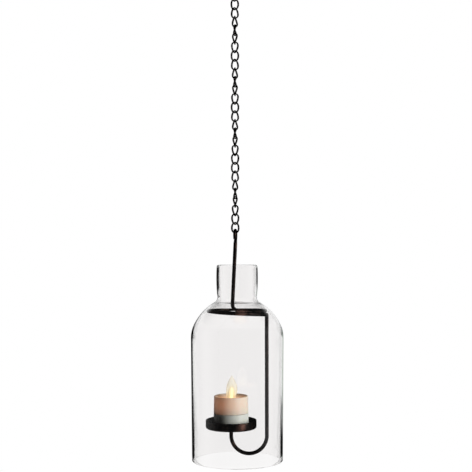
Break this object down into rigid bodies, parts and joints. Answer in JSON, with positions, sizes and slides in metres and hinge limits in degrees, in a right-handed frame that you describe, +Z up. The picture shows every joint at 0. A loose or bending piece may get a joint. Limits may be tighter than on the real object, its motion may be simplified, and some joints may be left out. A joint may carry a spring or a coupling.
{
  "type": "hanging lantern",
  "caption": "Clear bell-shaped glass lantern on a bent wire frame with a tray and flameless tealight, hung on a twisted-link chain with an S-hook.",
  "frame": {"origin": "the hang point: inside the crown of the S-hook, on the chain's line", "axes": "+Z up along the chain; +X to the right in the front view, towards the frame's drop rod; +Y away from the viewer"},
  "size_m": [0.102, 0.102, 0.5507],
  "materials": {
    "bronze_wire": "near-black oil-rubbed bronze, satin, with brown where it is rubbed",
    "bronze_pan": "near-black oil-rubbed bronze, satin",
    "chain": "blackened steel, satin",
    "clear_glass": "clear blown glass, polished, with flame-rounded edges",
    "ivory_wax": "translucent warm ivory, like wax",
    "flame": "frosted, lit from inside",
    "led_resin": "clear resin",
    "board": "green solder mask",
    "base_plastic": "moulded, fine satin",
    "cell_steel": "bright stainless",
    "contact_metal": "plated spring strip",
    "switch_black": "moulded"
  },
  "bodies": {
    "hook": {"hook": "bronze_wire"},
    "link_01": {"link_01": "chain"},
    "link_02": {"link_02": "chain"},
    "link_03": {"link_03": "chain"},
    "link_04": {"link_04": "chain"},
    "link_05": {"link_05": "chain"},
    "link_06": {"link_06": "chain"},
    "link_07": {"link_07": "chain"},
    "link_08": {"link_08": "chain"},
    "link_09": {"link_09": "chain"},
    "link_10": {"link_10": "chain"},
    "link_11": {"link_11": "chain"},
    "link_12": {"link_12": "chain"},
    "link_13": {"link_13": "chain"},
    "link_14": {"link_14": "chain"},
    "link_15": {"link_15": "chain"},
    "link_16": {"link_16": "chain"},
    "link_17": {"link_17": "chain"},
    "link_18": {"link_18": "chain"},
    "link_19": {"link_19": "chain"},
    "link_20": {"link_20": "chain"},
    "link_21": {"link_21": "chain"},
    "link_22": {"link_22": "chain"},
    "link_23": {"link_23": "chain"},
    "link_24": {"link_24": "chain"},
    "link_25": {"link_25": "chain"},
    "link_26": {"link_26": "chain"},
    "link_27": {"link_27": "chain"},
    "link_28": {"link_28": "chain"},
    "frame": {"wire_frame": "bronze_wire", "tray": "bronze_pan"},
    "glass": {"glass_chimney": "clear_glass"},
    "candle": {"candle_shell": "ivory_wax", "flame_tip": "flame", "led": "led_resin", "circuit_board": "board", "base_cup": "base_plastic", "coin_cell": "cell_steel", "contact_positive": "contact_metal", "contact_negative": "contact_metal"},
    "battery_cap": {"battery_cap": "base_plastic"},
    "switch": {"switch_slider": "switch_black"}
  },
  "joints": [
    {"name": "link_01_swing", "type": "hinge", "parent": "hook", "child": "link_01", "pos_m": [0, 0, -0.03332], "axis": [0, 1, 0], "range_deg": [-45, 45]},
    {"name": "link_02_swing", "type": "hinge", "parent": "link_01", "child": "link_02", "pos_m": [0, 0, -0.04208], "axis": [-0.4509, 0.8926, 0], "range_deg": [-45, 45]},
    {"name": "link_03_swing", "type": "hinge", "parent": "link_02", "child": "link_03", "pos_m": [0, 0, -0.05154], "axis": [0.8368, -0.5476, 0], "range_deg": [-45, 45]},
    {"name": "link_04_swing", "type": "hinge", "parent": "link_03", "child": "link_04", "pos_m": [0, 0, -0.061], "axis": [0.9984, -0.0558, 0], "range_deg": [-45, 45]},
    {"name": "link_05_swing", "type": "hinge", "parent": "link_04", "child": "link_05", "pos_m": [0, 0, -0.07046], "axis": [-0.8926, -0.4509, 0], "range_deg": [-45, 45]},
    {"name": "link_06_swing", "type": "hinge", "parent": "link_05", "child": "link_06", "pos_m": [0, 0, -0.07992], "axis": [0.5476, 0.8368, 0], "range_deg": [-45, 45]},
    {"name": "link_07_swing", "type": "hinge", "parent": "link_06", "child": "link_07", "pos_m": [0, 0, -0.08938], "axis": [-0.0558, -0.9984, 0], "range_deg": [-45, 45]},
    {"name": "link_08_swing", "type": "hinge", "parent": "link_07", "child": "link_08", "pos_m": [0, 0, -0.09884], "axis": [0.4509, -0.8926, 0], "range_deg": [-45, 45]},
    {"name": "link_09_swing", "type": "hinge", "parent": "link_08", "child": "link_09", "pos_m": [0, 0, -0.1083], "axis": [-0.8368, 0.5476, 0], "range_deg": [-45, 45]},
    {"name": "link_10_swing", "type": "hinge", "parent": "link_09", "child": "link_10", "pos_m": [0, 0, -0.11776], "axis": [-0.9984, 0.0558, 0], "range_deg": [-45, 45]},
    {"name": "link_11_swing", "type": "hinge", "parent": "link_10", "child": "link_11", "pos_m": [0, 0, -0.12722], "axis": [0.8926, 0.4509, 0], "range_deg": [-45, 45]},
    {"name": "link_12_swing", "type": "hinge", "parent": "link_11", "child": "link_12", "pos_m": [0, 0, -0.13668], "axis": [-0.5476, -0.8368, 0], "range_deg": [-45, 45]},
    {"name": "link_13_swing", "type": "hinge", "parent": "link_12", "child": "link_13", "pos_m": [0, 0, -0.14614], "axis": [0.0558, 0.9984, 0], "range_deg": [-45, 45]},
    {"name": "link_14_swing", "type": "hinge", "parent": "link_13", "child": "link_14", "pos_m": [0, 0, -0.1556], "axis": [-0.4509, 0.8926, 0], "range_deg": [-45, 45]},
    {"name": "link_15_swing", "type": "hinge", "parent": "link_14", "child": "link_15", "pos_m": [0, 0, -0.16506], "axis": [0.8368, -0.5476, 0], "range_deg": [-45, 45]},
    {"name": "link_16_swing", "type": "hinge", "parent": "link_15", "child": "link_16", "pos_m": [0, 0, -0.17452], "axis": [0.9984, -0.0558, 0], "range_deg": [-45, 45]},
    {"name": "link_17_swing", "type": "hinge", "parent": "link_16", "child": "link_17", "pos_m": [0, 0, -0.18398], "axis": [-0.8926, -0.4509, 0], "range_deg": [-45, 45]},
    {"name": "link_18_swing", "type": "hinge", "parent": "link_17", "child": "link_18", "pos_m": [0, 0, -0.19344], "axis": [0.5476, 0.8368, 0], "range_deg": [-45, 45]},
    {"name": "link_19_swing", "type": "hinge", "parent": "link_18", "child": "link_19", "pos_m": [0, 0, -0.2029], "axis": [-0.1392, -0.9903, 0], "range_deg": [-45, 45]},
    {"name": "link_20_swing", "type": "hinge", "parent": "link_19", "child": "link_20", "pos_m": [0, 0, -0.21236], "axis": [0.2957, -0.9553, 0], "range_deg": [-45, 45]},
    {"name": "link_21_swing", "type": "hinge", "parent": "link_20", "child": "link_21", "pos_m": [0, 0, -0.22182], "axis": [-0.6743, 0.7385, 0], "range_deg": [-45, 45]},
    {"name": "link_22_swing", "type": "hinge", "parent": "link_21", "child": "link_22", "pos_m": [0, 0, -0.23128], "axis": [-0.9245, 0.3811, 0], "range_deg": [-45, 45]},
    {"name": "link_23_swing", "type": "hinge", "parent": "link_22", "child": "link_23", "pos_m": [0, 0, -0.24074], "axis": [0.9988, 0.0489, 0], "range_deg": [-45, 45]},
    {"name": "link_24_swing", "type": "hinge", "parent": "link_23", "child": "link_24", "pos_m": [0, 0, -0.2502], "axis": [-0.8829, -0.4695, 0], "range_deg": [-45, 45]},
    {"name": "link_25_swing", "type": "hinge", "parent": "link_24", "child": "link_25", "pos_m": [0, 0, -0.25966], "axis": [0.599, 0.8007, 0], "range_deg": [-45, 45]},
    {"name": "link_26_swing", "type": "hinge", "parent": "link_25", "child": "link_26", "pos_m": [0, 0, -0.26912], "axis": [0.2011, 0.9796, 0], "range_deg": [-45, 45]},
    {"name": "link_27_swing", "type": "hinge", "parent": "link_26", "child": "link_27", "pos_m": [0, 0, -0.27858], "axis": [0.2351, -0.972, 0], "range_deg": [-45, 45]},
    {"name": "link_28_swing", "type": "hinge", "parent": "link_27", "child": "link_28", "pos_m": [0, 0, -0.28804], "axis": [0.6266, -0.7793, 0], "range_deg": [-45, 45]},
    {"name": "frame_swing", "type": "hinge", "parent": "link_28", "child": "frame", "pos_m": [0, 0, -0.2975], "axis": [-0.8988, 0.4384, 0], "range_deg": [-40, 40]},
    {"name": "glass_lift", "type": "slide", "parent": "frame", "child": "glass", "axis": [0, 0, 1], "range_m": [0, 0.2]},
    {"name": "candle_lift", "type": "slide", "parent": "frame", "child": "candle", "axis": [0, 0, 1], "range_m": [0, 0.05]},
    {"name": "battery_cap_twist", "type": "hinge", "parent": "candle", "child": "battery_cap", "pos_m": [-0.005, 0, -0.5109], "axis": [0, 0, 1], "range_deg": [0, 45]},
    {"name": "switch_slide", "type": "slide", "parent": "candle", "child": "switch", "axis": [0.7071, 0.7071, 0], "range_m": [0, 0.0024]}
  ]
}
